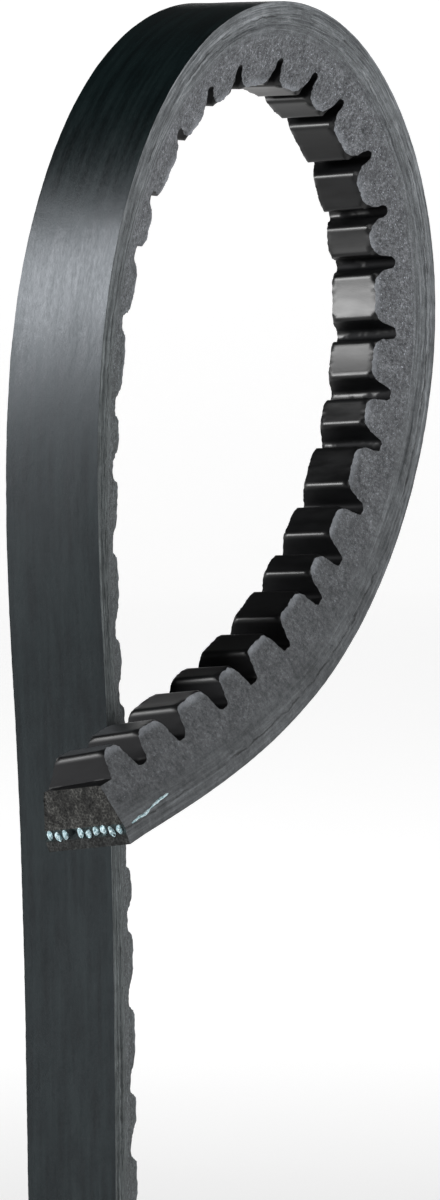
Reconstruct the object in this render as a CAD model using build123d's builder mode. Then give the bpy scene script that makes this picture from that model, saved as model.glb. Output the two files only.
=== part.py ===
# V belt, 10 x 8 mm raw-edge cogged section: a cut length that runs up, loops over
# and crosses in front of itself.
# Origin: centre of the cord line on the square-cut tail end, which lies flat at z = 0.
# +Z runs up the tail, +X points to the cogged inner side, +Y runs across the belt.
import os
from math import cos, pi, radians, sin, tan

from build123d import *

os.makedirs("parts", exist_ok=True)

# Section, mm. Depths are measured from the back (outer) surface.
TOP_WIDTH = 10.0
THICKNESS = 8.0
FLANK_ANGLE = radians(20)   # each flank to the belt's centre plane
COVER_DEPTH = 0.45          # back cover ply
OVERCORD_DEPTH = 0.95       # overcord ply ends here
CORD_DEPTH = 1.45           # cord line, also where the flanks start
GUM_DEPTH = 1.95            # adhesion gum ends here

# Tensile cords
CORD_COUNT = 10
CORD_PITCH = 0.93
CORD_DIAMETER = 0.80        # across the corners
CORD_SIDES = 8
SHORT_CORD = 7              # this cord has drawn back into its channel
SHORT_CORD_RECESS = 0.8

# Cogs: three spacings repeat along the belt
PITCHES = (7.3, 6.2, 8.3)
NOTCH_COUNT = 36
FIRST_NOTCH = 4.0           # along the cord line from the tail end
NOTCH_ROOT_DEPTH = 5.35
NOTCH_ROOT_WIDTH = 1.6      # belt straight
NOTCH_OPENING = 3.9         # between the flanks at the cog tips, belt straight
ROOT_CLOSING = 16.0         # mm of closing at the root per 1/mm of bend
OPENING_CLOSING = 60.0      # mm of closing at the tips per 1/mm of bend
ROOT_RADIUS = 0.35
COG_CORNER = 0.6            # height of the bevelled tip corners
CUTTER_REACH = 0.4          # the notch outline stands this far clear of the cog tips

# Cut end
BELT_LENGTH = 257.9         # along the cord line, tail end to cut end
CUT_SLANT = radians(10)     # the cut is this far off square

# Lie of the cord line: distance from the tail end, then the value there.
# A bend radius of 0 means straight, and a negative one bends the other way.
BEND_RADIUS = [(0, 0), (50, -250), (78, 155), (98, 42), (118, 24), (142, 21.5),
               (168, 29), (192, 47), (218, 58), (256, 1400)]
SIDE_LEAN = [(0, 0), (60, 2), (100, 7.5), (140, 5.5), (180, 1.5), (220, 0), (256, 1.5)]
TWIST = [(0, 0), (60, -4), (100, 1), (140, -3), (180, -4), (220, -3), (256, -11)]

STEP = 0.25                 # the cord line is worked out at this spacing
NOTCH_REACH = TOP_WIDTH     # each notch is cut this far to both sides, clear of the flanks


def between(table, distance):
    """Straight-line value of a table of (distance, value) pairs."""
    for (start, first), (end, last) in zip(table, table[1:]):
        if distance <= end:
            return first + (last - first) * (distance - start) / (end - start)
    return table[-1][1]


BEND = [(distance, 1 / radius if radius else 0.0) for distance, radius in BEND_RADIUS]


def cord_line_frames():
    """Point, tangent, inward normal and sideways direction at every STEP."""
    frames = []
    point = Vector(0, 0, 0)
    heading = pi / 2
    for i in range(round(BELT_LENGTH / STEP) + 2):
        distance = i * STEP
        lean = radians(between(SIDE_LEAN, distance))
        roll = radians(between(TWIST, distance))
        tangent = Vector(cos(lean) * cos(heading), -sin(lean), cos(lean) * sin(heading))
        across = Vector(0, 1, 0)
        level = (across - tangent * across.dot(tangent)).normalized()
        inward = level.cross(tangent)
        side = level * cos(roll) + inward * sin(roll)
        normal = inward * cos(roll) - level * sin(roll)
        frames.append((point, tangent, normal, side))
        point = point + tangent * STEP
        heading -= between(BEND, distance + STEP / 2) * STEP
    return frames


FRAMES = cord_line_frames()


def frame_at(distance):
    i = min(int(distance / STEP), len(FRAMES) - 2)
    share = distance / STEP - i
    return [a * (1 - share) + b * share for a, b in zip(FRAMES[i], FRAMES[i + 1])]


def section_plane(distance):
    """Square across the belt: x runs across it and y towards its back."""
    point, tangent, _, side = frame_at(distance)
    return Plane(origin=point, x_dir=side, z_dir=tangent)


def cut_plane(recess=0.0):
    """The slanted cut end, which reaches furthest on the -Y edge."""
    point, tangent, _, side = frame_at(BELT_LENGTH)
    slanted = side - tangent * tan(CUT_SLANT)
    facing = tangent + side * tan(CUT_SLANT)
    return Plane(origin=point - tangent * recess, x_dir=slanted, z_dir=facing)


def notch_plane(distance):
    """Along the belt's centre plane: x runs along the belt and y towards the cogs."""
    point, tangent, _, side = frame_at(distance)
    return Plane(origin=point, x_dir=tangent, z_dir=side)


def half_width(depth):
    return TOP_WIDTH / 2 - max(depth - CORD_DEPTH, 0) * tan(FLANK_ANGLE)


def notch_positions():
    positions = [FIRST_NOTCH]
    for number in range(NOTCH_COUNT - 1):
        positions.append(positions[-1] + PITCHES[number % 3])
    return positions


NOTCHES = notch_positions()


def layer_stations():
    """Where the layers' sections stand: at the ends of the belt, each notch and each cog."""
    stations = [0.0, FIRST_NOTCH / 2]
    for start, end in zip(NOTCHES, NOTCHES[1:]):
        stations += [start, (start + end) / 2]
    return stations


STATIONS = layer_stations()


def layer_section(plane, outer, inner, stretch=1.0):
    """One layer's section, between two depths from the back."""
    with BuildSketch(plane) as section:
        with BuildLine():
            Polyline(
                (-half_width(outer) * stretch, CORD_DEPTH - outer),
                (half_width(outer) * stretch, CORD_DEPTH - outer),
                (half_width(inner) * stretch, CORD_DEPTH - inner),
                (-half_width(inner) * stretch, CORD_DEPTH - inner),
                close=True,
            )
        make_face()
    return section.sketch


def layer_sections(outer, inner):
    sections = [layer_section(section_plane(distance), outer, inner) for distance in STATIONS]
    return sections + [layer_section(cut_plane(), outer, inner, 1 / cos(CUT_SLANT))]


def cord_section(plane, across):
    with BuildSketch(plane) as section:
        with Locations((across, 0)):
            RegularPolygon(CORD_DIAMETER / 2, CORD_SIDES, rotation=180 / CORD_SIDES)
    return section.sketch


def cord_sections(number, recess=0.0):
    across = (number - (CORD_COUNT + 1) / 2) * CORD_PITCH
    sections = [cord_section(section_plane(distance), across) for distance in STATIONS]
    return sections + [cord_section(cut_plane(recess), across / cos(CUT_SLANT))]


def notch_outline(position):
    """One notch: rounded root, sloped flanks and bevelled tip corners."""
    bend = max(between(BEND, position), 0)
    root = (NOTCH_ROOT_WIDTH - ROOT_CLOSING * bend) / 2
    opening = (NOTCH_OPENING - OPENING_CLOSING * bend) / 2
    floor = NOTCH_ROOT_DEPTH - CORD_DEPTH
    tip = THICKNESS - CORD_DEPTH
    flare = opening + COG_CORNER + CUTTER_REACH
    with BuildSketch(notch_plane(position)) as outline:
        with BuildLine():
            Polyline(
                (-flare, tip + CUTTER_REACH),
                (-opening, tip - COG_CORNER),
                (-root, floor),
                (root, floor),
                (opening, tip - COG_CORNER),
                (flare, tip + CUTTER_REACH),
                close=True,
            )
        make_face()
        fillet(outline.vertices().group_by(Axis.Y)[0], ROOT_RADIUS)
    return outline.sketch


# Back cover ply
with BuildPart() as back_cover_ply:
    loft(layer_sections(0, COVER_DEPTH), ruled=True)
back_cover_ply.part.label = "back_cover_ply"
export_step(back_cover_ply.part, "parts/back_cover_ply.step")

# Ply over the gum
with BuildPart() as overcord_ply:
    loft(layer_sections(COVER_DEPTH, OVERCORD_DEPTH), ruled=True)
overcord_ply.part.label = "overcord_ply"
export_step(overcord_ply.part, "parts/overcord_ply.step")

# Cogged rubber body below the cords
with BuildPart() as compression_rubber:
    loft(layer_sections(GUM_DEPTH, THICKNESS), ruled=True)
    for position in NOTCHES:
        extrude(notch_outline(position), amount=NOTCH_REACH, both=True, mode=Mode.SUBTRACT)
compression_rubber.part.label = "compression_rubber"
export_step(compression_rubber.part, "parts/compression_rubber.step")

# Tensile cords, side by side on the cord line, and their channels
channels = []
for number in range(1, CORD_COUNT + 1):
    name = f"tensile_cord_{number:02d}"
    with BuildPart() as channel:
        loft(cord_sections(number), ruled=True)
    channels.append(channel.part)
    with BuildPart() as tensile_cord:
        loft(cord_sections(number, SHORT_CORD_RECESS if number == SHORT_CORD else 0.0), ruled=True)
    tensile_cord.part.label = name
    export_step(tensile_cord.part, f"parts/{name}.step")

# Adhesion gum, moulded round the cords
with BuildPart() as adhesion_gum:
    loft(layer_sections(OVERCORD_DEPTH, GUM_DEPTH), ruled=True)
    add(channels, mode=Mode.SUBTRACT)
adhesion_gum.part.label = "adhesion_gum"
export_step(adhesion_gum.part, "parts/adhesion_gum.step")
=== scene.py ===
import math

import bmesh
import bpy
import numpy as np
from mathutils import Matrix, Vector
from mathutils.geometry import delaunay_2d_cdt


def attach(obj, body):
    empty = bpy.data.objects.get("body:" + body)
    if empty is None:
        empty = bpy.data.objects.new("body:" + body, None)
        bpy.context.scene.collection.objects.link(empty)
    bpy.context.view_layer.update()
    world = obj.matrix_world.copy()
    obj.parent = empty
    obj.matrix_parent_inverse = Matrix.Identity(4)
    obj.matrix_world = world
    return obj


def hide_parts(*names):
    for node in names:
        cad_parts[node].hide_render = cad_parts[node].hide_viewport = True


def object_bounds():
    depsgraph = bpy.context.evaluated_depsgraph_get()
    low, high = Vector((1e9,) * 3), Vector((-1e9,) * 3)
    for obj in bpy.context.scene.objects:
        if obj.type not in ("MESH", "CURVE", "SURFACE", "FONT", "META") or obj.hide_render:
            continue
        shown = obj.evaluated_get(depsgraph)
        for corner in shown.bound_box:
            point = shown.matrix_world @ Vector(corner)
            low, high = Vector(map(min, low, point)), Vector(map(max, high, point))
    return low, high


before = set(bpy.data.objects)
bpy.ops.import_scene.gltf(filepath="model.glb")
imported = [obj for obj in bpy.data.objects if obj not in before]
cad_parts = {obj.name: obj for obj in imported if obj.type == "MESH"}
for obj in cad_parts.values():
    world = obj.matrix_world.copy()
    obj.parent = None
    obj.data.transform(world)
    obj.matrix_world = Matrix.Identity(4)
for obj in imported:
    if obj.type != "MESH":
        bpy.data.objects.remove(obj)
cad_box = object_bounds()

MM = 0.001

# A cut length of cogged raw-edge V belt that runs up, loops over and crosses in front of itself.
# Origin: centre of the cord line on the square-cut tail end. +Z runs up the tail, +X points to
# the cogged inner side, +Y runs across the belt. Depths are measured from the back surface.

# ---------------------------------------------------------------- belt, mm
TOP_WIDTH = 10.0
THICKNESS = 8.0
FLANK_ANGLE = math.radians(20)
COVER_DEPTH = 0.45          # back cover ply
OVERCORD_DEPTH = 0.95       # overcord ply ends here
CORD_DEPTH = 1.45           # cord line, also where the flanks start
GUM_DEPTH = 1.95            # adhesion gum ends here

CORD_COUNT = 10
CORD_PITCH = 0.93
CORD_RADIUS = 0.39
SHORT_CORD = 7              # this cord has drawn back into its channel
SHORT_CORD_RECESS = 0.8

PITCHES = (7.3, 6.2, 8.3)   # three cog spacings repeat along the belt
NOTCH_COUNT = 36
FIRST_NOTCH = 4.0           # along the cord line from the tail end
NOTCH_ROOT_DEPTH = 5.35
NOTCH_ROOT_WIDTH = 1.6      # belt straight
NOTCH_OPENING = 3.9         # between the flanks at the cog tips, belt straight
ROOT_CLOSING = 16.0         # mm of closing at the root per 1/mm of bend
OPENING_CLOSING = 60.0      # mm of closing at the tips per 1/mm of bend
ROOT_RADIUS = 0.48
TIP_RADIUS = 0.45           # moulded faces
WORN_RADIUS = 1.25          # the same corners along the raw edges, belt straight
WORN_BY_BEND = 16.0         # mm of extra radius there per 1/mm of bend

BELT_LENGTH = 257.9         # along the cord line, tail end to cut end
CUT_SLANT = math.radians(10)            # the cut is this far off square

# Lie of the cord line: distance from the tail end, then the value there.
# A bend radius of 0 means straight, and a negative one bends the other way.
BEND_RADIUS = [(0, 0), (50, -250), (78, 155), (98, 42), (118, 24), (142, 21.5),
               (168, 29), (192, 47), (218, 58), (256, 1400)]
SIDE_LEAN = [(0, 0), (60, 2), (100, 7.5), (140, 5.5), (180, 1.5), (220, 0), (256, 1.5)]
TWIST = [(0, 0), (60, -4), (100, 1), (140, -3), (180, -4), (220, -3), (256, -11)]

STEP = 0.25                 # the cord line is worked out at this spacing
COG_COLUMNS = 38            # mesh columns from one notch to the next
END_COLUMNS = 22            # and from the tail end to the first notch
SHARP_CORNER = math.radians(42)         # edges that turn further than this are shaded sharp


# ---------------------------------------------------------------- cord line
def table_at(table, distance):
    stations, values = zip(*table)
    return np.interp(distance, stations, values)


BEND = [(distance, 1 / radius if radius else 0.0) for distance, radius in BEND_RADIUS]


def cord_line():
    """Point, tangent, inward normal and sideways direction at every STEP."""
    distance = np.arange(round(BELT_LENGTH / STEP) + 2) * STEP
    lean = np.radians(table_at(SIDE_LEAN, distance))
    roll = np.radians(table_at(TWIST, distance))[:, None]
    turned = table_at(BEND, distance + STEP / 2) * STEP
    heading = np.pi / 2 - np.concatenate([[0], np.cumsum(turned)[:-1]])
    tangent = np.stack([np.cos(lean) * np.cos(heading), -np.sin(lean),
                        np.cos(lean) * np.sin(heading)], 1)
    point = np.concatenate([np.zeros((1, 3)), np.cumsum(tangent * STEP, 0)[:-1]])
    across = np.array([0.0, 1.0, 0.0])
    level = across - tangent * (tangent @ across)[:, None]
    level /= np.linalg.norm(level, axis=1)[:, None]
    inward = np.cross(level, tangent)
    side = level * np.cos(roll) + inward * np.sin(roll)
    normal = inward * np.cos(roll) - level * np.sin(roll)
    return distance, point, tangent, normal, side


LINE_AT, POINT, TANGENT, NORMAL, SIDE = cord_line()


def line_value(values, distance):
    parts = [np.interp(distance, LINE_AT, values[:, axis]) for axis in range(3)]
    return np.stack(parts, -1)


def belt_point(distance, depth, across, forward=0.0):
    """Row-frame points in mm. forward pushes them along the belt."""
    depth, across = np.asarray(depth, float), np.asarray(across, float)
    place = line_value(POINT, distance)
    place = place + line_value(NORMAL, distance) * (depth - CORD_DEPTH)[..., None]
    place = place + line_value(SIDE, distance) * across[..., None]
    return place + line_value(TANGENT, distance) * np.asarray(forward, float)[..., None]


def cut_point(depth, across, forward=0.0):
    """Points of the slanted cut end, which reaches furthest on the -Y edge."""
    reach = forward - np.asarray(across, float) * math.tan(CUT_SLANT)
    where = np.full(np.shape(across), BELT_LENGTH)
    return belt_point(where, depth, across, reach)


def half_width(depth):
    return TOP_WIDTH / 2 - np.maximum(depth - CORD_DEPTH, 0) * math.tan(FLANK_ANGLE)


# ---------------------------------------------------------------- noise
NOISE_GRID = 256            # the noise repeats after this many cells


def value_noise(x, y, seed):
    """Smooth noise from -1 to 1 on a unit grid."""
    table = np.random.RandomState(seed).rand(NOISE_GRID, NOISE_GRID) * 2 - 1
    x, y = np.asarray(x, float), np.asarray(y, float)
    column, row = np.floor(x).astype(int), np.floor(y).astype(int)
    u, v = x - column, y - row
    u, v = u * u * (3 - 2 * u), v * v * (3 - 2 * v)
    column, row = column % NOISE_GRID, row % NOISE_GRID
    right, above = (column + 1) % NOISE_GRID, (row + 1) % NOISE_GRID
    low = table[column, row] * (1 - u) + table[right, row] * u
    high = table[column, above] * (1 - u) + table[right, above] * u
    return low * (1 - v) + high * v


def layered_noise(x, y, layers, seed):
    """A sum of noises, each given by its cell size in x and y and its height."""
    total = 0
    for number, (length, width, height) in enumerate(layers):
        total = total + value_noise(x / length, y / width, seed + number) * height
    return total


# Layers of relief, here and below: cell sizes one way and the other, and height, mm
EDGE_RELIEF = ((0.26, 0.26, 0.055), (0.8, 0.6, 0.050), (3.1, 2.2, 0.040))
CALM_DEPTH = 0.9            # towards the back the relief fades over this depth,
CALM_SHARE = 0.25           # down to this share


def rough_cut(along, depth, seed):
    """Sideways relief of a sawn rubber edge, mm."""
    calm = CALM_SHARE + (1 - CALM_SHARE) * np.clip(depth / CALM_DEPTH, 0, 1)
    return layered_noise(along, depth, EDGE_RELIEF, seed) * calm


# ---------------------------------------------------------------- columns
def notch_positions():
    steps = [PITCHES[number % 3] for number in range(NOTCH_COUNT - 1)]
    return np.concatenate([[FIRST_NOTCH], FIRST_NOTCH + np.cumsum(steps)])


NOTCHES = notch_positions()
CUT_CLEARANCE = 0.1         # between the last square column and the slanted cut
BASE_END = BELT_LENGTH - TOP_WIDTH / 2 * math.tan(CUT_SLANT) - CUT_CLEARANCE
ARC_POINTS = 13


def rounded(corners, radii):
    """A fine polyline along corners, with an arc of the given radius at each inner one."""
    corners = [np.array(corner, float) for corner in corners]
    line = [corners[0]]
    for before, corner, after, radius in zip(corners, corners[1:], corners[2:], radii):
        towards = (before - corner) / np.linalg.norm(before - corner)
        away = (after - corner) / np.linalg.norm(after - corner)
        half = math.acos(np.clip(towards @ away, -1, 1)) / 2
        reach = radius / math.tan(half)
        inward = (towards + away) / np.linalg.norm(towards + away)
        middle = corner + inward * radius / math.sin(half)
        start = math.atan2(*(corner + towards * reach - middle)[::-1])
        end = math.atan2(*(corner + away * reach - middle)[::-1])
        turn = (end - start + math.pi) % (2 * math.pi) - math.pi
        for share in np.linspace(0, 1, ARC_POINTS):
            angle = start + turn * share
            line.append(middle + radius * np.array([math.cos(angle), math.sin(angle)]))
    line.append(corners[-1])
    return np.array(line)


def even_points(line, count):
    """count + 1 points at equal steps along a polyline."""
    steps = np.linalg.norm(np.diff(line, axis=0), axis=1)
    along = np.concatenate([[0], np.cumsum(steps)])
    wanted = np.linspace(0, along[-1], count + 1)
    return np.stack([np.interp(wanted, along, line[:, i]) for i in range(2)], 1)


def half_cog(position, reach, count, tip_radius, by_bend):
    """From the root of a notch to the middle of the cog beside it: offsets and depths.

    Offsets are measured on the cord line, so they grow where the bend draws the cogs together.
    """
    bend = float(table_at(BEND, position))
    root = (NOTCH_ROOT_WIDTH - ROOT_CLOSING * max(bend, 0)) / 2
    tip = (NOTCH_OPENING - OPENING_CLOSING * max(bend, 0)) / 2
    corners = [(0, NOTCH_ROOT_DEPTH), (root, NOTCH_ROOT_DEPTH), (tip, THICKNESS), (reach, THICKNESS)]
    radii = [ROOT_RADIUS, tip_radius + by_bend * max(bend, 0)]
    line = even_points(rounded(corners, radii), count)
    shrink = 1 - bend * (line[:, 1] - CORD_DEPTH)
    blend = np.clip(1 - line[:, 0] / reach, 0, 1)
    return line[:, 0] * (1 + (1 / shrink - 1) * blend), line[:, 1]


def cog_columns(tip_radius, by_bend):
    """For every mesh column: its place on the flat layers, and the cog outline's place and depth."""
    base, place, depth = [], [], []
    half = COG_COLUMNS // 2
    offsets, depths = half_cog(FIRST_NOTCH, FIRST_NOTCH, END_COLUMNS, tip_radius, by_bend)
    base += list(FIRST_NOTCH * (1 - np.arange(END_COLUMNS, 0, -1) / END_COLUMNS))
    place += list(FIRST_NOTCH - offsets[:0:-1])
    depth += list(depths[:0:-1])
    for start, end in zip(NOTCHES, NOTCHES[1:]):
        middle = (start + end) / 2
        stop = min(end, BASE_END)
        offsets, depths = half_cog(start, middle - start, half, tip_radius, by_bend)
        base += list(start + (middle - start) * np.arange(half) / half)
        place += list(start + offsets[:-1])
        depth += list(depths[:-1])
        offsets, depths = half_cog(end, end - middle, half, tip_radius, by_bend)
        base += list(middle + (stop - middle) * np.arange(half) / half)
        place += list(end - offsets[:0:-1])
        depth += list(depths[:0:-1])
    return np.array(base), np.array(place), np.array(depth)


BASE, FACE_AT, FACE_DEPTH = cog_columns(TIP_RADIUS, 0.0)
_, WORN_AT, WORN_DEPTH = cog_columns(WORN_RADIUS, WORN_BY_BEND)
# The last notch falls on the cut end, so the columns of its root are left out
KEEP = FACE_AT < NOTCHES[-1] - NOTCH_ROOT_WIDTH / 2
BASE, FACE_AT, FACE_DEPTH = BASE[KEEP], FACE_AT[KEEP], FACE_DEPTH[KEEP]
WORN_AT, WORN_DEPTH = WORN_AT[KEEP], WORN_DEPTH[KEEP]


# ---------------------------------------------------------------- mesh making
def make_shell(name, rings, ring_surface, caps, materials):
    """A closed tube: rings of points along the belt, and a triangulated cap at each end."""
    columns, count, _ = rings.shape
    points = rings.reshape(-1, 3)
    index = np.arange(columns * count).reshape(columns, count)
    a, b = index[:-1], index[1:]
    quads = np.stack([a, np.roll(a, -1, 1), np.roll(b, -1, 1), b], -1).reshape(-1, 4)
    surface = np.tile(ring_surface, columns - 1)
    faces = [tuple(quad) for quad in quads.tolist()]
    slots = surface.tolist()
    extra = []
    for end, (inner, triangles, slot) in caps.items():
        ring = index[0] if end == "tail" else index[-1]
        first = len(points) + sum(len(part) for part in extra)
        extra.append(inner)
        for triangle in triangles:
            corners = [int(ring[i]) if i < count else first + i - count for i in triangle]
            faces.append(tuple(corners[::-1] if end == "tail" else corners))
            slots.append(slot)
    points = np.concatenate([points] + extra) * MM
    mesh = bpy.data.meshes.new(name)
    mesh.from_pydata(points.tolist(), [], faces)
    for material in materials:
        mesh.materials.append(material)
    mesh.polygons.foreach_set("material_index", slots)
    mesh.polygons.foreach_set("use_smooth", [True] * len(faces))
    mesh.validate()
    work = bmesh.new()
    work.from_mesh(mesh)
    bmesh.ops.recalc_face_normals(work, faces=work.faces)
    work.to_mesh(mesh)
    work.free()
    mesh.set_sharp_from_angle(angle=SHARP_CORNER)
    piece = bpy.data.objects.new(name, mesh)
    bpy.context.scene.collection.objects.link(piece)
    return piece


CAP_SCATTER = 0.8           # how far inner points stray, as a share of their spacing
CAP_MARGIN = 0.45           # how far they keep from the outline, as a share of it
WITHIN_OUTLINE = 1          # delaunay_2d_cdt's output type: only triangles inside the outline
MERGE_DISTANCE = 1e-7
TINY = 1e-12                # in place of a zero divisor


def cap(outline, place, spacing, slot, seed):
    """Inner points scattered in a section outline, given as (across, depth), and its triangles."""
    low, high = outline.min(0), outline.max(0)
    draw = np.random.RandomState(seed)
    columns = np.arange(low[0], high[0], spacing)
    rows = np.arange(low[1], high[1], spacing)
    across, depth = np.meshgrid(columns, rows)
    inner = np.stack([across.ravel(), depth.ravel()], 1)
    inner = inner + (draw.rand(*inner.shape) - 0.5) * spacing * CAP_SCATTER
    inner = inner[inside(inner, outline, spacing * CAP_MARGIN)]
    loop = list(range(len(outline)))
    edges = list(zip(loop, loop[1:] + loop[:1]))
    points = [Vector(point) for point in np.concatenate([outline, inner])]
    made = delaunay_2d_cdt(points, edges, [], WITHIN_OUTLINE, MERGE_DISTANCE)
    _, _, triangles, sources, _, _ = made
    origin = [source[0] if source else -1 for source in sources]
    triangles = [[origin[i] for i in triangle] for triangle in triangles]
    triangles = [t for t in triangles if min(t) >= 0]
    return place(inner[:, 1], inner[:, 0]), triangles, slot


def inside(points, outline, margin):
    """Which points lie inside a closed outline, at least margin from it."""
    x, y = points[:, 0], points[:, 1]
    odd = np.zeros(len(points), bool)
    nearest = np.full(len(points), np.inf)
    for (x1, y1), (x2, y2) in zip(outline, np.roll(outline, -1, 0)):
        crosses = (y1 > y) != (y2 > y)
        rise = y2 - y1 if y2 != y1 else TINY
        odd ^= crosses & (x < (x2 - x1) * (y - y1) / rise + x1)
        span = np.array([x2 - x1, y2 - y1])
        share = np.clip(((points - [x1, y1]) @ span) / max(span @ span, TINY), 0, 1)
        away = np.linalg.norm(points - ([x1, y1] + share[:, None] * span), axis=1)
        nearest = np.minimum(nearest, away)
    return odd & (nearest > margin)


def finished(piece, nodes):
    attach(piece, "root")
    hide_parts(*nodes)


# ---------------------------------------------------------------- shader helpers
class Nodes:
    """Short calls for building one material's node tree."""

    def __init__(self, name):
        self.material = bpy.data.materials.new(name)
        self.material.use_nodes = True
        self.tree = self.material.node_tree
        self.tree.nodes.clear()
        output = self.tree.nodes.new("ShaderNodeOutputMaterial")
        self.shader = self.tree.nodes.new("ShaderNodeBsdfPrincipled")
        self.link(self.shader.outputs[0], output.inputs[0])

    def link(self, source, target):
        self.tree.links.new(source, target)

    def put(self, node, place, value):
        """Links a socket to an input, or sets the input to a plain value."""
        if isinstance(value, bpy.types.NodeSocket):
            self.link(value, node.inputs[place])
        else:
            node.inputs[place].default_value = value

    def attribute(self, name):
        node = self.tree.nodes.new("ShaderNodeAttribute")
        node.attribute_name = name
        return node.outputs["Vector"]

    def scaled(self, vector, scale):
        node = self.tree.nodes.new("ShaderNodeVectorMath")
        node.operation = "MULTIPLY"
        self.link(vector, node.inputs[0])
        node.inputs[1].default_value = scale
        return node.outputs[0]

    def noise(self, vector, scale, detail, roughness):
        node = self.tree.nodes.new("ShaderNodeTexNoise")
        self.link(vector, node.inputs["Vector"])
        node.inputs["Scale"].default_value = scale
        node.inputs["Detail"].default_value = detail
        node.inputs["Roughness"].default_value = roughness
        return node.outputs["Fac"]

    def cells(self, vector, scale):
        node = self.tree.nodes.new("ShaderNodeTexVoronoi")
        self.link(vector, node.inputs["Vector"])
        node.inputs["Scale"].default_value = scale
        return node.outputs["Distance"]

    def ramp(self, value, stops):
        """Stops are (position, colour). A colour of one number is grey."""
        node = self.tree.nodes.new("ShaderNodeValToRGB")
        while len(node.color_ramp.elements) < len(stops):
            node.color_ramp.elements.new(0.5)
        for element, (place, colour) in zip(node.color_ramp.elements, stops):
            element.position = place
            element.color = (*colour, 1) if len(colour) == 3 else (colour[0],) * 3 + (1,)
        self.link(value, node.inputs[0])
        return node.outputs[0]

    def mix(self, share, first, second, kind="MIX"):
        node = self.tree.nodes.new("ShaderNodeMix")
        node.data_type = "RGBA"
        node.blend_type = kind
        self.put(node, 0, share)
        for place, colour in ((6, first), (7, second)):
            self.put(node, place, (*colour, 1) if isinstance(colour, tuple) else colour)
        return node.outputs[2]

    def calc(self, kind, first, second=0.0):
        node = self.tree.nodes.new("ShaderNodeMath")
        node.operation = kind
        self.put(node, 0, first)
        self.put(node, 1, second)
        return node.outputs[0]

    def part(self, vector, axis):
        node = self.tree.nodes.new("ShaderNodeSeparateXYZ")
        self.link(vector, node.inputs[0])
        return node.outputs[axis]

    def fade(self, value, start, end):
        """0 at start, 1 at end, smooth between."""
        node = self.tree.nodes.new("ShaderNodeMapRange")
        node.interpolation_type = "SMOOTHSTEP"
        self.link(value, node.inputs["Value"])
        node.inputs["From Min"].default_value = start
        node.inputs["From Max"].default_value = end
        return node.outputs[0]

    def bump(self, height, distance, strength):
        node = self.tree.nodes.new("ShaderNodeBump")
        node.inputs["Strength"].default_value = strength
        node.inputs["Distance"].default_value = distance
        self.link(height, node.inputs["Height"])
        self.link(node.outputs[0], self.shader.inputs["Normal"])

    def finish(self, colour, roughness, specular):
        self.put(self.shader, "Base Color", colour)
        self.put(self.shader, "Roughness", roughness)
        self.shader.inputs["Specular IOR Level"].default_value = specular
        return self.material


BELT = "belt_place"         # attribute: along, across and depth, in mm

# Where the materials change, mm: the change starts and ends at these places.
# The border is the depth with slow waves of up to BORDER_WANDER added.
BORDER_WANDER = 0.9
STREAKS_TO_FLECKS = (2.5, 4.6)      # border: ply streaks give way to flecked rubber
SHADE_LINE_AT = CORD_DEPTH + 0.42       # border: a broken dark line of painted shade runs beside the cords
TIP_RIM = (7.1, 7.85)               # depth: the raw edge turns paler towards the cog tips
TOWARDS_CUT = (168, 222)            # along: the raw edge grows smoother
DOWN_TAIL = (110, 80)               # along: and darker down the tail, painted shade
TIP_GLOSS_END = (7.85, 7.35)        # depth: the gloss of the cog tips fades on their flanks, where their reflection is also dimmed as painted shade
ROOT_GLOSS = (5.75, 5.40)           # depth: and comes back in patches at the notch roots


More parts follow.
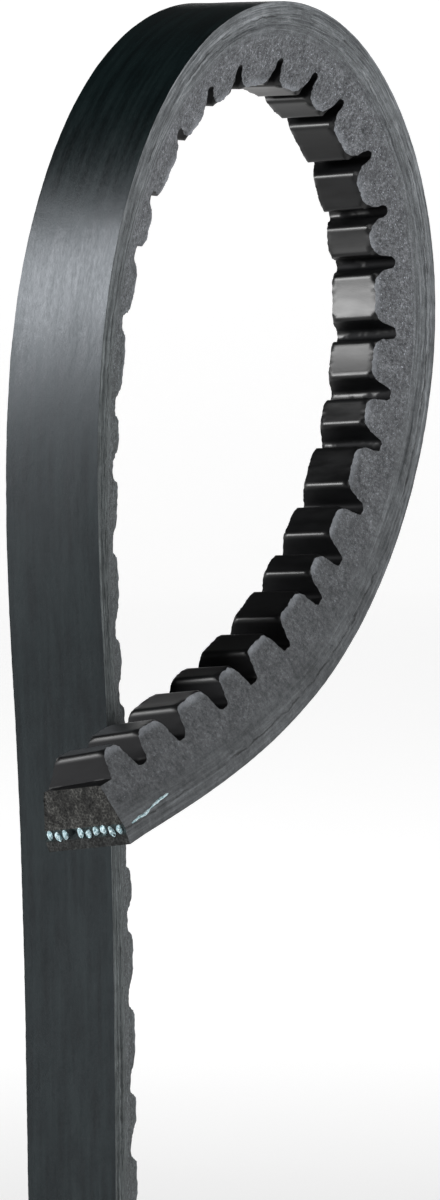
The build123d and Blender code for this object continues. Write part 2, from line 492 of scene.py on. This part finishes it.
def raw_edge_material():
    """Sawn edges: lengthwise streaks near the back, flecked fibre-filled rubber below."""
    n = Nodes("raw_edge_rubber")
    place = n.attribute(BELT)
    depth = n.part(place, "Z")
    along = n.part(place, "X")
    fine = n.noise(place, 2.6, 8, 0.74)
    clumps = n.noise(place, 0.55, 5, 0.68)
    fibres = n.noise(n.scaled(place, (1.0, 1.0, 1.9)), 4.2, 3, 0.7)
    rubber = n.ramp(fine, [(0.34, (0.046, 0.048, 0.052)), (0.46, (0.105, 0.109, 0.116)),
                           (0.56, (0.155, 0.161, 0.171)), (0.70, (0.31, 0.32, 0.345))])
    smooth = n.ramp(fine, [(0.34, (0.048, 0.051, 0.054)), (0.70, (0.112, 0.117, 0.122))])
    flecked = n.mix(n.fade(fibres, 0.60, 0.70), rubber, (0.50, 0.53, 0.59))
    flecked = n.mix(n.fade(fibres, 0.40, 0.32), flecked, (0.026, 0.027, 0.030))
    calm = n.calc("MULTIPLY", n.fade(along, *TOWARDS_CUT), 0.72)
    rubber = n.mix(calm, flecked, smooth)
    streaks = n.noise(n.scaled(place, (0.14, 1.0, 2.8)), 3.4, 5, 0.72)
    lines = n.noise(n.scaled(place, (0.03, 1.0, 1.6)), 2.2, 3, 0.6)
    streaks = n.calc("ADD", n.calc("MULTIPLY", streaks, 0.45), n.calc("MULTIPLY", lines, 0.55))
    plies = n.ramp(streaks, [(0.38, (0.042, 0.046, 0.050)), (0.46, (0.102, 0.109, 0.115)),
                             (0.54, (0.156, 0.166, 0.174)), (0.63, (0.28, 0.295, 0.31))])
    plies = n.mix(calm, plies, smooth)
    wander = n.noise(n.scaled(place, (0.35, 1.0, 1.0)), 1.4, 3, 0.6)
    border = n.calc("ADD", depth, n.calc("MULTIPLY", wander, BORDER_WANDER))
    colour = n.mix(n.fade(border, *STREAKS_TO_FLECKS), plies, rubber)
    # painted shade: a broken dark line along the border beside the cords
    shade_line = n.calc("ABSOLUTE", n.calc("SUBTRACT", border, SHADE_LINE_AT))
    broken = n.fade(n.noise(n.scaled(place, (0.30, 1.0, 1.0)), 0.9, 2, 0.5), 0.42, 0.60)
    shade_line = n.calc("MULTIPLY", n.fade(shade_line, 0.12, 0.02), n.calc("MULTIPLY", broken, 0.75))
    colour = n.mix(shade_line, colour, (0.022, 0.022, 0.023))
    rim = n.calc("MULTIPLY", n.fade(depth, *TIP_RIM), 0.42)
    colour = n.mix(rim, colour, (0.33, 0.35, 0.38))
    shade = n.ramp(clumps, [(0.30, (0.66,)), (0.70, (1.18,))])
    colour = n.mix(1.0, colour, shade, "MULTIPLY")
    # painted shade: the raw edge is darker down the tail
    tail_shade = n.mix(1.0, colour, (0.66, 0.69, 0.67), "MULTIPLY")
    colour = n.mix(n.fade(along, *DOWN_TAIL), colour, tail_shade)
    height = n.calc("ADD", fine, n.calc("MULTIPLY", n.calc("ADD", fibres, streaks), 0.5))
    n.bump(height, 0.00022, 1.0)
    return n.finish(colour, 0.9, 0.2)


def back_material():
    """Smooth dark slate rubber with faint lengthwise streaks and scuffs."""
    n = Nodes("back_cover_rubber")
    place = n.attribute(BELT)
    streaks = n.noise(n.scaled(place, (0.06, 1.0, 1.0)), 1.4, 4, 0.6)
    patches = n.noise(n.scaled(place, (0.45, 1.0, 1.0)), 0.45, 5, 0.65)
    grain = n.noise(n.scaled(place, (0.42, 1.0, 1.0)), 3.6, 6, 0.75)
    tone = n.calc("ADD", n.calc("MULTIPLY", streaks, 0.6), n.calc("MULTIPLY", patches, 0.4))
    colour = n.ramp(tone, [(0.40, (0.0004, 0.0022, 0.0024)), (0.50, (0.0010, 0.0040, 0.0043)),
                           (0.60, (0.0022, 0.0062, 0.0064))])
    scuffs = n.calc("ADD", n.calc("MULTIPLY", tone, 0.5), n.calc("MULTIPLY", grain, 0.5))
    rough = n.ramp(scuffs, [(0.40, (0.29,)), (0.60, (0.405,))])
    n.bump(n.calc("ADD", grain, n.calc("MULTIPLY", patches, 0.4)), 0.00003, 0.4)
    n.shader.inputs["Specular Tint"].default_value = (0.88, 0.93, 1.0, 1)
    return n.finish(colour, rough, 0.34)


def moulded_material():
    """Moulded cog faces: smooth, near-black rubber, satin on the tips, and rougher in the notches,
    where their reflection is dimmed as painted shade.
    """
    n = Nodes("moulded_cog_rubber")
    place = n.attribute(BELT)
    cloud = n.noise(n.scaled(place, (1.0, 0.35, 1.0)), 0.9, 4, 0.55)
    grain = n.noise(place, 8.0, 4, 0.6)
    colour = n.ramp(cloud, [(0.35, (0.0014, 0.0015, 0.0017)), (0.65, (0.0040, 0.0042, 0.0046))])
    rough = n.ramp(cloud, [(0.35, (0.32,)), (0.65, (0.38,))])
    depth = n.part(place, "Z")
    glints = n.fade(n.noise(place, 0.5, 2, 0.5), 0.50, 0.64)
    root = n.calc("MULTIPLY", n.fade(depth, *ROOT_GLOSS), glints)
    flank = n.calc("SUBTRACT", n.fade(depth, *TIP_GLOSS_END), root)
    rough = n.mix(flank, rough, (0.6, 0.6, 0.6))
    # painted shade: the reflection is dimmed on the flanks and in the notches, except in patches at
    # the roots
    n.link(n.mix(flank, (1, 1, 1), (0.22, 0.22, 0.23)), n.shader.inputs["Specular Tint"])
    n.bump(n.calc("ADD", n.calc("MULTIPLY", grain, 0.3), n.calc("MULTIPLY", cloud, 0.4)), 0.00003, 0.4)
    return n.finish(colour, rough, 0.40)


def torn_material(name, dark, light):
    """Torn rubber of the cut end: dark, with pale crumbs in clumps."""
    n = Nodes(name)
    place = n.attribute(BELT)
    crumbs = n.noise(place, 6.5, 7, 0.8)
    fibres = n.cells(place, 4.6)
    mixed = n.calc("ADD", n.calc("MULTIPLY", crumbs, 0.75), n.calc("MULTIPLY", fibres, 0.35))
    middle = tuple((a * 1.6 + b * 0.4) / 2 for a, b in zip(dark, light))
    colour = n.ramp(mixed, [(0.36, dark), (0.55, middle), (0.78, light)])
    clumps = n.ramp(n.noise(place, 1.1, 3, 0.6), [(0.38, (0.35,)), (0.62, (1.45,))])
    colour = n.mix(1.0, colour, clumps, "MULTIPLY")
    n.bump(mixed, 0.00018, 1.0)
    return n.finish(colour, 0.8, 0.3)


def cord_material():
    """Twisted polyester yarn: pale blue-white filaments with teal between them."""
    n = Nodes("tensile_yarn")
    place = n.attribute(BELT)
    filaments = n.noise(n.scaled(place, (0.5, 3.0, 2.0)), 5.0, 4, 0.7)
    colour = n.ramp(filaments, [(0.37, (0.05, 0.16, 0.18)), (0.49, (0.32, 0.48, 0.52)),
                                (0.62, (0.76, 0.86, 0.90))])
    n.bump(filaments, 0.00006, 0.8)
    n.shader.inputs["Sheen Weight"].default_value = 0.3
    return n.finish(colour, 0.6, 0.35)


RAW = raw_edge_material()
MOULDED = moulded_material()
BACK = back_material()
TORN_RUBBER = torn_material("torn_cog_rubber", (0.0045, 0.0045, 0.0042), (0.085, 0.0845, 0.079))
TORN_PLY = torn_material("torn_ply", (0.004, 0.0045, 0.0045), (0.046, 0.048, 0.047))
TORN_GUM = torn_material("torn_gum", (0.005, 0.010, 0.011), (0.040, 0.060, 0.062))
YARN = cord_material()


# ---------------------------------------------------------------- pieces
NEAR, FAR = -1, 1           # the belt's two raw edges: the near one is on the -Y side
EDGE_SEEDS = {NEAR: 37, FAR: 77}
EDGE_INSET = 0.09           # the edges' relief is centred this far inside the CAD flanks


def mark_places(piece, rings_place, extra_places):
    """Stores each vertex's along, across and depth, which the materials read."""
    values = np.concatenate([rings_place.reshape(-1, 3)] + extra_places)
    attribute = piece.data.attributes.new(BELT, "FLOAT_VECTOR", "POINT")
    attribute.data.foreach_set("vector", values.astype(np.float32).ravel())


def edge_across(along, depth, hand):
    """How far from the middle a raw edge lies, with its relief."""
    relief = rough_cut(along, depth, EDGE_SEEDS[hand])
    return hand * (half_width(depth) + relief - EDGE_INSET)


def tube_places(rows_at, rows_depth, face_at, face_depth, inner_count, outer_count):
    """(along, across, depth) of every ring point: near edge, inner face, far edge, outer face."""
    near = edge_across(rows_at, rows_depth, NEAR)
    far = edge_across(rows_at, rows_depth, FAR)
    inner_share = np.arange(1, inner_count + 1) / (inner_count + 1)
    outer_share = np.arange(outer_count, 0, -1) / (outer_count + 1)
    inner = near[:, -1:] + (far[:, -1:] - near[:, -1:]) * inner_share
    outer = near[:, :1] + (far[:, :1] - near[:, :1]) * outer_share
    along = np.concatenate([rows_at, np.repeat(face_at[:, None], inner_count, 1), rows_at[:, ::-1],
                            np.repeat(rows_at[:, :1], outer_count, 1)], 1)
    depth = np.concatenate([rows_depth, np.repeat(face_depth[:, None], inner_count, 1),
                            rows_depth[:, ::-1], np.repeat(rows_depth[:, :1], outer_count, 1)], 1)
    across = np.concatenate([near, inner, far[:, ::-1], outer], 1)
    return np.stack([along, across, depth], -1)


def end_caps(tail_outline, cut_outline, relief, slots, spacings, seeds):
    """Caps for the square tail end and the slanted cut end, and the places of their points."""
    marks = []

    def tail_place(depth, across):
        marks.append(np.stack([np.zeros_like(across), across, depth], -1))
        return belt_point(np.zeros_like(across), depth, across)

    def cut_place(depth, across):
        marks.append(np.stack([np.full_like(across, BELT_LENGTH), across, depth], -1))
        return cut_point(depth, across, relief(across, depth))

    caps = {
        "tail": cap(tail_outline, tail_place, spacings[0], slots[0], seeds[0]),
        "cut": cap(cut_outline, cut_place, spacings[1], slots[1], seeds[1]),
    }
    return caps, marks


TAIL_SPACING = 0.8          # of the inner points on the tail end, mm


def make_layer(name, places, surfaces, counts, materials, tail_slot, cut, lift=None):
    """One layer of the belt from its ring places.

    surfaces are the material slots of the raw edges, the inner face and the outer face.
    cut = (material slot, spacing, seed, relief function) of the cut end.
    """
    rows, inner_count, outer_count = counts
    last = places[-1].copy()
    last[:, 0] = BELT_LENGTH
    shifts = np.zeros(places.shape[:2]) if lift is None else lift(places)
    body = belt_point(places[..., 0], places[..., 2] + shifts, places[..., 1])
    end_ring = cut_point(last[:, 2], last[:, 1])[None]
    rings = np.concatenate([body, end_ring])
    ring_surface = [surfaces[0]] * (rows - 1) + [surfaces[1]] * (inner_count + 1)
    ring_surface += [surfaces[0]] * (rows - 1) + [surfaces[2]] * (outer_count + 1)
    cut_slot, spacing, seed, relief = cut
    caps, marks = end_caps(places[0][:, 1:], last[:, 1:], relief, (tail_slot, cut_slot),
                           (TAIL_SPACING, spacing), (seed, seed + 1))
    piece = make_shell(name, rings, ring_surface, caps, materials)
    mark_places(piece, np.concatenate([places, last[None]]), marks)
    finished(piece, [name])


def flat_layer(name, outer, inner, rows, counts, materials, surfaces, cut, lift=None):
    """A layer between two depths, with half as many columns as the cogs."""
    along = np.append(BASE[:-1:2], BASE[-1])
    rows_at = np.repeat(along[:, None], rows, 1)
    rows_depth = np.repeat(np.linspace(outer, inner, rows)[None], len(along), 0)
    inner_depth = np.full(len(along), inner)
    places = tube_places(rows_at, rows_depth, along, inner_depth, *counts)
    make_layer(name, places, surfaces, (rows, *counts), materials, 1, cut, lift)


TORN_RELIEF = ((0.75, 0.6, 0.5), (0.22, 0.2, 0.5))      # chunks and crumbs, of height 1 together


def crumbly(amount, seed, base=0.0):
    """Relief of a torn face: chunks and crumbs, up to amount mm either side of base."""
    def relief(across, depth):
        return base + amount * layered_noise(across, depth, TORN_RELIEF, seed)
    return relief


BACK_RELIEF = ((9, 3, 0.02), (1.6, 0.5, 0.006))
BACK_INSET = 0.03           # keeps the uneven back from standing out past the CAD's
BACK_SKIN = 0.02            # points above this depth are on the back itself


def back_lift(places):
    """The back is very slightly uneven."""
    uneven = layered_noise(places[..., 0], places[..., 1], BACK_RELIEF, 71)
    return np.where(places[..., 2] < BACK_SKIN, uneven + BACK_INSET, 0)


def make_back_cover():
    flat_layer("back_cover_ply", 0, COVER_DEPTH, 4, (4, 34), [BACK, RAW, TORN_PLY],
               (1, 1, 0), (2, 0.14, 11, crumbly(0.10, 21)), back_lift)


def make_overcord():
    flat_layer("overcord_ply", COVER_DEPTH, OVERCORD_DEPTH, 4, (4, 4), [RAW, RAW, TORN_PLY],
               (0, 1, 1), (2, 0.14, 12, crumbly(0.12, 23, -0.03)))


def cord_across(number):
    return (number - (CORD_COUNT + 1) / 2) * CORD_PITCH


PIT_DEPTH = 0.55            # of the hole that the short cord leaves in the torn gum
PIT_REACH = 1.25            # the hole's radius, in cord radii


def gum_relief(across, depth):
    """Torn gum, with a pit where one cord has drawn back."""
    away = np.hypot(across - cord_across(SHORT_CORD), depth - CORD_DEPTH)
    pit = -PIT_DEPTH * np.clip(PIT_REACH - away / CORD_RADIUS, 0, 1)
    return crumbly(0.07, 25, -0.04)(across, depth) + pit


def make_gum():
    flat_layer("adhesion_gum", OVERCORD_DEPTH, GUM_DEPTH, 7, (4, 4), [RAW, RAW, TORN_GUM],
               (0, 1, 1), (2, 0.11, 13, gum_relief))


COG_ROWS = 13               # mesh rows on the raw edge above TURN_DEPTH, and as many below it
TURN_DEPTH = NOTCH_ROOT_DEPTH - 0.25    # below this the raw edge follows the cogs
FACE_COLUMNS = 14           # mesh columns across the moulded faces, between the raw edges
RAGGED_ALONG = ((0.34, 0.34, 0.085),)   # how the worn outline strays along the belt
RAGGED_DEPTH = ((0.30, 0.37, 0.095),)   # and in depth
RAGGED_INSET = 0.03         # in depth it is centred this far inside the cogs


def make_cogs():
    """The cogged body. Its moulded faces keep their outline; the raw edges' is worn and ragged."""
    low = np.linspace(GUM_DEPTH, TURN_DEPTH, COG_ROWS)
    share = np.arange(1, COG_ROWS + 1) / COG_ROWS
    ragged_at = WORN_AT + layered_noise(BASE, WORN_DEPTH, RAGGED_ALONG, 81)
    ragged_depth = WORN_DEPTH + layered_noise(BASE, WORN_DEPTH, RAGGED_DEPTH, 82) - RAGGED_INSET
    rows_at = np.concatenate([np.repeat(BASE[:, None], COG_ROWS, 1),
                              BASE[:, None] + (ragged_at - BASE)[:, None] * share], 1)
    rows_depth = np.concatenate([np.repeat(low[None], len(BASE), 0),
                                 TURN_DEPTH + (ragged_depth - TURN_DEPTH)[:, None] * share], 1)
    places = tube_places(rows_at, rows_depth, FACE_AT, FACE_DEPTH, FACE_COLUMNS, 4)
    make_layer("compression_rubber", places, (1, 0, 1), (2 * COG_ROWS, FACE_COLUMNS, 4),
               [MOULDED, RAW, TORN_RUBBER], 2, (2, 0.13, 15, crumbly(0.16, 27)))


CORD_SIDES = 15
CORD_STEP = 0.8             # between rings, mm
CORD_LAY = 3.2              # mm for one turn of the twist
PLY_VALLEY, PLY_LOBE = 0.86, 0.14       # radius between the three plies, and what a ply adds to it
CORD_WIDTH, CORD_HEIGHT = 0.94, 1.08    # of the section, in cord radii
LAST_RING = 1.2             # mm from the cut end, clear of its slant
FINE_LENGTH, FINE_RINGS = 4, 20         # the rings stand closer over this last stretch
FRAYED_LENGTH = 2.5
END_DRAW = np.random.RandomState(91).rand(CORD_COUNT + 1, 4) * 2 - 1
TALLER, TALLER_DRAW = 0.12, 0.14        # growth in height at the frayed end, and how it varies
NARROWER, NARROWER_DRAW = 0.10, 0.08    # loss of width there
END_LEAN, END_SHIFT = 0.30, 0.16        # how far the frayed ends lean, and shift in depth
END_PROUD = 0.07            # a cord's end stands this far out of the cut, mm
END_DOME, END_PLIES = 0.16, 0.10        # and its middle and its plies this much further
TUFT_WIDTH, TUFT_LENGTH, TUFT_HEIGHT = 0.09, 0.16, 0.06
TAIL_CORD_SPACING, CUT_CORD_SPACING = 0.2, 0.075    # of the inner points on the two ends, mm


def make_cord(number):
    """A three-ply twisted cord. Its cut end is frayed and, but for the short cord, stands proud."""
    name = f"tensile_cord_{number:02d}"
    middle = cord_across(number)
    stop = BELT_LENGTH - LAST_RING
    along = np.concatenate([np.arange(0, stop - FINE_LENGTH, CORD_STEP),
                            np.linspace(stop - FINE_LENGTH, stop, FINE_RINGS)])
    angle = np.arange(CORD_SIDES) / CORD_SIDES * 2 * np.pi
    twist = along[:, None] / CORD_LAY * 2 * np.pi + number
    lobes = PLY_VALLEY + PLY_LOBE * np.abs(np.cos(1.5 * (angle - twist)))
    across = middle + CORD_RADIUS * CORD_WIDTH * lobes * np.cos(angle)
    depth = CORD_DEPTH + CORD_RADIUS * CORD_HEIGHT * lobes * np.sin(angle)
    at = np.repeat(along[:, None], CORD_SIDES, 1)
    proud = -SHORT_CORD_RECESS if number == SHORT_CORD else END_PROUD
    draw = END_DRAW[number]
    fray = np.clip((along - stop + FRAYED_LENGTH) / FRAYED_LENGTH, 0, 1)[:, None]
    depth = depth + (depth - CORD_DEPTH) * fray * (TALLER + TALLER_DRAW * draw[0])
    across = across - (across - middle) * fray * (NARROWER + NARROWER_DRAW * draw[1])
    across = across + (depth - CORD_DEPTH) * fray * END_LEAN * draw[2]
    depth = depth + fray * END_SHIFT * draw[3]
    end = np.stack([np.full(CORD_SIDES, BELT_LENGTH), across[-1], depth[-1]], -1)
    places = np.concatenate([np.stack([at, across, depth], -1), end[None]])
    end_ring = cut_point(end[:, 2], end[:, 1], proud)[None]
    rings = np.concatenate([belt_point(at, depth, across), end_ring])

    def end_relief(across, depth):
        x, y = across - middle, depth - CORD_DEPTH
        away = np.hypot(x, y)
        dome = END_DOME * (1 - np.clip(away / CORD_RADIUS, 0, 1) ** 2)
        plies = END_PLIES * np.cos(3 * (np.arctan2(y, x) - twist[-1, 0])) * away / CORD_RADIUS
        tufts = value_noise(x / TUFT_WIDTH + number * 9, y / TUFT_LENGTH, 61) * TUFT_HEIGHT
        return proud + dome + plies + tufts

    caps, marks = end_caps(places[0][:, 1:], end[:, 1:], end_relief, (0, 0),
                           (TAIL_CORD_SPACING, CUT_CORD_SPACING), (number, number + 20))
    piece = make_shell(name, rings, [0] * CORD_SIDES, caps, [YARN])
    mark_places(piece, places, marks)
    finished(piece, [name])


YARN_SIDES, YARN_RINGS = 9, 52
YARN_START, YARN_STOP = 7.6, 0.35       # mm before the cut end
YARN_RADIUS = 0.13
YARN_TAPER = 12             # how soon it reaches its full radius from either end
YARN_TIP = 0.02             # square of its ends' radius, as a share of the full one
YARN_LUMPS = (0.5, 0.25)                # mm from lump to lump, and their height as a share
YARN_WAIST = (0.06, 0.6)                # half length and depth of the thin middle, as shares
YARN_WANDER = (1.1, 0.10)               # mm from bend to bend, and their height
YARN_DROP = 0.6             # mm further from the back at its start than at the cut
YARN_FLAT = 0.9             # height over width
YARN_INSET = 0.10           # its middle lies this far inside the CAD flank, mm


def make_loose_yarn():
    """A few millimetres of the outermost cord lie bare along the near edge, up to the cut."""
    along = np.linspace(BELT_LENGTH - YARN_START, BELT_LENGTH - YARN_STOP, YARN_RINGS)
    share = np.linspace(0, 1, YARN_RINGS)
    radius = YARN_RADIUS * np.sqrt(np.clip(share * (1 - share) * YARN_TAPER, YARN_TIP, 1))
    radius = radius * (1 + YARN_LUMPS[1] * value_noise(along / YARN_LUMPS[0], along * 0, 93))
    radius = radius * (1 - YARN_WAIST[1] * np.exp(-((share - 0.5) / YARN_WAIST[0]) ** 2))
    wander = YARN_WANDER[1] * value_noise(along / YARN_WANDER[0], along * 0, 94)
    middle_depth = CORD_DEPTH + YARN_DROP * (1 - share) + wander
    angle = np.arange(YARN_SIDES) / YARN_SIDES * 2 * np.pi
    depth = middle_depth[:, None] + radius[:, None] * YARN_FLAT * np.sin(angle)
    across = YARN_INSET - half_width(depth) + radius[:, None] * np.cos(angle)
    at = np.repeat(along[:, None], YARN_SIDES, 1)
    places = np.stack([at, across, depth], -1)
    fan = [(i, (i + 1) % YARN_SIDES, YARN_SIDES) for i in range(YARN_SIDES)]
    caps, marks = {}, []
    for end, ring in (("tail", places[0]), ("cut", places[-1])):
        middle = ring.mean(0)
        marks.append(middle[None])
        caps[end] = (belt_point(middle[:1], middle[2:], middle[1:2]), fan, 0)
    rings = belt_point(at, depth, across)
    piece = make_shell("loose_yarn", rings, [0] * YARN_SIDES, caps, [YARN])
    mark_places(piece, places, marks)
    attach(piece, "root")


make_back_cover()
make_overcord()
make_gum()
make_cogs()
for number in range(1, CORD_COUNT + 1):
    make_cord(number)
make_loose_yarn()


# ---------------------------------------------------------------- stage
CAMERA_AZIMUTH = math.radians(-59.78)
CAMERA_ELEVATION = math.radians(4.21)
CAMERA_ROLL = math.radians(-0.72)
CAMERA_PLACE = Vector((-281.69, -180.44, 88.56)) * MM
CAMERA_LENS = 106.6         # mm
SENSOR_WIDTH = 36           # mm
NEAREST_SEEN, FURTHEST_SEEN = 0.01, 20  # m

NEAR_FLOOR, FAR_FLOOR = -0.05, 0.30     # m from the belt, away from the camera
NEAR_GLOW, FAR_GLOW = 0.18, 0.80
WORLD_LIGHT, BACKDROP = 0.04, 0.85      # what the world sheds, and how it looks behind the sweep

FLOOR_GAP = 0.02            # m from the tail end down to the floor
SWEEP_REACH = 1.6           # m from the belt to where the sweep stands upright
SWEEP_FRONT = 1.5           # times that distance to its front edge
SWEEP_RISE, SWEEP_RADIUS = 0.6, 0.4     # m
SWEEP_HALF_WIDTH = 2.4      # m
SWEEP_STEPS = 16


def floor_material():
    n = Nodes("pale_floor")
    n.shader.inputs["Emission Color"].default_value = (1, 1, 1, 1)
    coordinates = n.tree.nodes.new("ShaderNodeTexCoord").outputs["Object"]
    away = n.tree.nodes.new("ShaderNodeVectorMath")
    away.operation = "DOT_PRODUCT"
    n.link(coordinates, away.inputs[0])
    away.inputs[1].default_value = (-math.sin(CAMERA_AZIMUTH), math.cos(CAMERA_AZIMUTH), 0)
    share = n.fade(away.outputs["Value"], NEAR_FLOOR, FAR_FLOOR)
    glow = n.calc("ADD", NEAR_GLOW, n.calc("MULTIPLY", share, FAR_GLOW - NEAR_GLOW))
    n.link(glow, n.shader.inputs["Emission Strength"])
    speckle = n.noise(coordinates, 40, 3, 0.5)
    return n.finish(n.ramp(speckle, [(0.0, (0.49,)), (1.0, (0.51,))]), 0.9, 0.0)


def make_floor():
    """A pale sweep: level under the belt, and curved up far behind it."""
    low, _ = cad_box
    floor_z = low.z - FLOOR_GAP
    toward = Vector((math.sin(CAMERA_AZIMUTH), -math.cos(CAMERA_AZIMUTH), 0))
    sideways = Vector((toward.y, -toward.x, 0))
    outline = [(-SWEEP_REACH * SWEEP_FRONT, 0.0)]
    for step in range(SWEEP_STEPS + 1):
        angle = math.pi / 2 * step / SWEEP_STEPS
        outline.append((SWEEP_REACH - SWEEP_RADIUS + SWEEP_RADIUS * math.sin(angle),
                        SWEEP_RADIUS - SWEEP_RADIUS * math.cos(angle)))
    outline.append((SWEEP_REACH, SWEEP_RISE))
    mesh = bpy.data.meshes.new("floor")
    vertices, faces = [], []
    for away, height in outline:
        for hand in (-1, 1):
            spot = -toward * away + sideways * hand * SWEEP_HALF_WIDTH
            vertices.append((spot.x, spot.y, floor_z + height))
    for i in range(len(outline) - 1):
        faces.append((2 * i, 2 * i + 1, 2 * i + 3, 2 * i + 2))
    mesh.from_pydata(vertices, [], faces)
    for polygon in mesh.polygons:
        polygon.use_smooth = True
    mesh.materials.append(floor_material())
    floor = bpy.data.objects.new("floor", mesh)
    bpy.context.scene.collection.objects.link(floor)


def area_light(name, target, towards, distance, size, power):
    """A soft light that shines at target from the given direction."""
    light = bpy.data.lights.new(name, "AREA")
    light.shape = "RECTANGLE"
    light.size, light.size_y = size
    light.energy = power
    lamp = bpy.data.objects.new(name, light)
    direction = Vector(towards).normalized()
    lamp.location = target + direction * distance
    lamp.rotation_mode = "QUATERNION"
    lamp.rotation_quaternion = direction.to_track_quat("Z", "Y")
    bpy.context.scene.collection.objects.link(lamp)


def make_camera():
    back = Vector((math.sin(CAMERA_AZIMUTH) * math.cos(CAMERA_ELEVATION),
                   -math.cos(CAMERA_AZIMUTH) * math.cos(CAMERA_ELEVATION),
                   math.sin(CAMERA_ELEVATION)))
    level = Vector((math.cos(CAMERA_AZIMUTH), math.sin(CAMERA_AZIMUTH), 0))
    up = back.cross(level)
    right = level * math.cos(CAMERA_ROLL) + up * math.sin(CAMERA_ROLL)
    up = up * math.cos(CAMERA_ROLL) - level * math.sin(CAMERA_ROLL)
    data = bpy.data.cameras.new("camera")
    data.lens = CAMERA_LENS
    data.sensor_width = SENSOR_WIDTH
    data.clip_start, data.clip_end = NEAREST_SEEN, FURTHEST_SEEN
    camera = bpy.data.objects.new("camera", data)
    turn = Matrix((right, up, back)).transposed().to_4x4()
    camera.matrix_world = Matrix.Translation(CAMERA_PLACE) @ turn
    bpy.context.scene.collection.objects.link(camera)
    bpy.context.scene.camera = camera


def make_lights():
    low, high = cad_box
    middle = (low + high) / 2
    crown = Vector((middle.x, middle.y, high.z))
    area_light("side_softbox", middle, (-0.76, 0.58, 0.293), 0.9, (0.50, 0.30), 10.2)
    area_light("low_fill", middle, (-0.76, 0.58, 0.06), 0.9, (0.50, 0.20), 1.7)
    area_light("front_light", crown, (0.22, -1.0, 0.22), 0.30, (0.25, 0.25), 1.25)


def make_world():
    """A white world that looks brighter to the camera than the light it sheds."""
    world = bpy.data.worlds.new("studio")
    world.use_nodes = True
    background = world.node_tree.nodes["Background"]
    background.inputs[0].default_value = (1, 1, 1, 1)
    seen = world.node_tree.nodes.new("ShaderNodeLightPath").outputs["Is Camera Ray"]
    strength = world.node_tree.nodes.new("ShaderNodeMapRange")
    strength.inputs["To Min"].default_value = WORLD_LIGHT
    strength.inputs["To Max"].default_value = BACKDROP
    world.node_tree.links.new(seen, strength.inputs["Value"])
    world.node_tree.links.new(strength.outputs[0], background.inputs[1])
    bpy.context.scene.world = world


make_floor()
make_camera()
make_lights()
make_world()
bpy.context.scene.view_settings.view_transform = "Standard"
